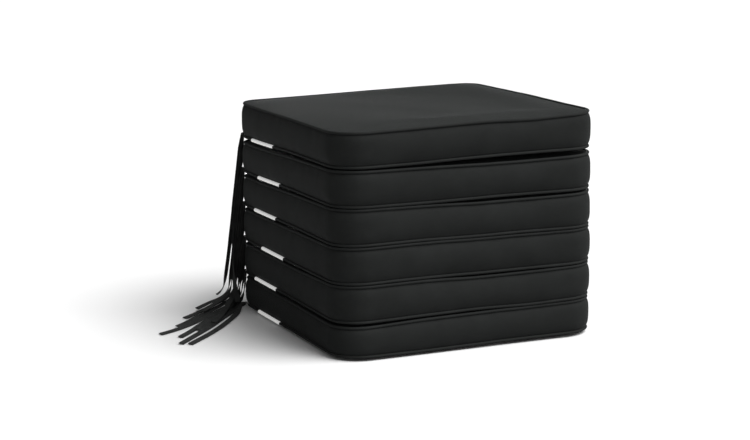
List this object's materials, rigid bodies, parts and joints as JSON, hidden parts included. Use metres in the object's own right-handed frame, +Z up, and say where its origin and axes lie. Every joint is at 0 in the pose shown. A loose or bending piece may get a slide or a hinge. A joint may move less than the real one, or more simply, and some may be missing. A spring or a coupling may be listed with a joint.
{
  "type": "chair seat pad",
  "caption": "Stack of square box-edge seat pads in charcoal cloth, with piped seams, zipped covers, white labels and limp tie tapes.",
  "frame": {"origin": "centre of the bottom pad's underside, on the surface that the stack rests on", "axes": "+Z up through the stack, -Y towards the pads' front edge with the rounder corners, -X towards the side with the labels"},
  "size_m": [0.5821, 0.4154, 0.3219],
  "materials": {
    "foam": "open-cell foam, hidden in the cover",
    "cover_cloth": "matt plain weave",
    "boxing_cloth": "matt plain weave",
    "piping_cloth": "matt bias-cut piping",
    "tie_tape": "matt woven tape",
    "label_cloth": "smooth white label cloth, blank",
    "zip_tape": "black coil zip",
    "zip_metal": "black slider"
  },
  "bodies": {
    "pad_1": {"pad_1_foam_core": "foam", "pad_1_top_panel": "cover_cloth", "pad_1_bottom_panel": "cover_cloth", "pad_1_boxing": "boxing_cloth", "pad_1_top_piping": "piping_cloth", "pad_1_bottom_piping": "piping_cloth", "pad_1_zip_chain": "zip_tape", "pad_1_care_label": "label_cloth", "pad_1_tie": "tie_tape"},
    "pad_2": {"pad_2_foam_core": "foam", "pad_2_top_panel": "cover_cloth", "pad_2_bottom_panel": "cover_cloth", "pad_2_boxing": "boxing_cloth", "pad_2_top_piping": "piping_cloth", "pad_2_bottom_piping": "piping_cloth", "pad_2_zip_chain": "zip_tape", "pad_2_care_label": "label_cloth", "pad_2_tie": "tie_tape"},
    "pad_3": {"pad_3_foam_core": "foam", "pad_3_top_panel": "cover_cloth", "pad_3_bottom_panel": "cover_cloth", "pad_3_boxing": "boxing_cloth", "pad_3_top_piping": "piping_cloth", "pad_3_bottom_piping": "piping_cloth", "pad_3_zip_chain": "zip_tape", "pad_3_care_label": "label_cloth", "pad_3_tie": "tie_tape"},
    "pad_4": {"pad_4_foam_core": "foam", "pad_4_top_panel": "cover_cloth", "pad_4_bottom_panel": "cover_cloth", "pad_4_boxing": "boxing_cloth", "pad_4_top_piping": "piping_cloth", "pad_4_bottom_piping": "piping_cloth", "pad_4_zip_chain": "zip_tape", "pad_4_care_label": "label_cloth", "pad_4_tie": "tie_tape"},
    "pad_5": {"pad_5_foam_core": "foam", "pad_5_top_panel": "cover_cloth", "pad_5_bottom_panel": "cover_cloth", "pad_5_boxing": "boxing_cloth", "pad_5_top_piping": "piping_cloth", "pad_5_bottom_piping": "piping_cloth", "pad_5_zip_chain": "zip_tape", "pad_5_care_label": "label_cloth", "pad_5_tie": "tie_tape"},
    "pad_6": {"pad_6_foam_core": "foam", "pad_6_top_panel": "cover_cloth", "pad_6_bottom_panel": "cover_cloth", "pad_6_boxing": "boxing_cloth", "pad_6_top_piping": "piping_cloth", "pad_6_bottom_piping": "piping_cloth", "pad_6_zip_chain": "zip_tape", "pad_6_care_label": "label_cloth", "pad_6_tie": "tie_tape"},
    "pad_1_slider": {"pad_1_zip_slider": "zip_metal"},
    "pad_2_slider": {"pad_2_zip_slider": "zip_metal"},
    "pad_3_slider": {"pad_3_zip_slider": "zip_metal"},
    "pad_4_slider": {"pad_4_zip_slider": "zip_metal"},
    "pad_5_slider": {"pad_5_zip_slider": "zip_metal"},
    "pad_6_slider": {"pad_6_zip_slider": "zip_metal"}
  },
  "joints": [
    {"name": "pad_2_lift", "type": "slide", "parent": "pad_1", "child": "pad_2", "axis": [0, 0, 1], "range_m": [0, 0.1]},
    {"name": "pad_3_lift", "type": "slide", "parent": "pad_2", "child": "pad_3", "axis": [0, 0, 1], "range_m": [0, 0.1]},
    {"name": "pad_4_lift", "type": "slide", "parent": "pad_3", "child": "pad_4", "axis": [0, 0, 1], "range_m": [0, 0.1]},
    {"name": "pad_5_lift", "type": "slide", "parent": "pad_4", "child": "pad_5", "axis": [0, 0, 1], "range_m": [0, 0.1]},
    {"name": "pad_6_lift", "type": "slide", "parent": "pad_5", "child": "pad_6", "axis": [0, 0, 1], "range_m": [0, 0.1]},
    {"name": "pad_1_zip_slide", "type": "slide", "parent": "pad_1", "child": "pad_1_slider", "axis": [-1, 0, 0], "range_m": [0, 0.276]},
    {"name": "pad_2_zip_slide", "type": "slide", "parent": "pad_2", "child": "pad_2_slider", "axis": [-1, 0, 0], "range_m": [0, 0.276]},
    {"name": "pad_3_zip_slide", "type": "slide", "parent": "pad_3", "child": "pad_3_slider", "axis": [-1, 0, 0], "range_m": [0, 0.276]},
    {"name": "pad_4_zip_slide", "type": "slide", "parent": "pad_4", "child": "pad_4_slider", "axis": [-1, 0, 0], "range_m": [0, 0.276]},
    {"name": "pad_5_zip_slide", "type": "slide", "parent": "pad_5", "child": "pad_5_slider", "axis": [-1, 0, 0], "range_m": [0, 0.276]},
    {"name": "pad_6_zip_slide", "type": "slide", "parent": "pad_6", "child": "pad_6_slider", "axis": [-1, 0, 0], "range_m": [0, 0.276]}
  ]
}
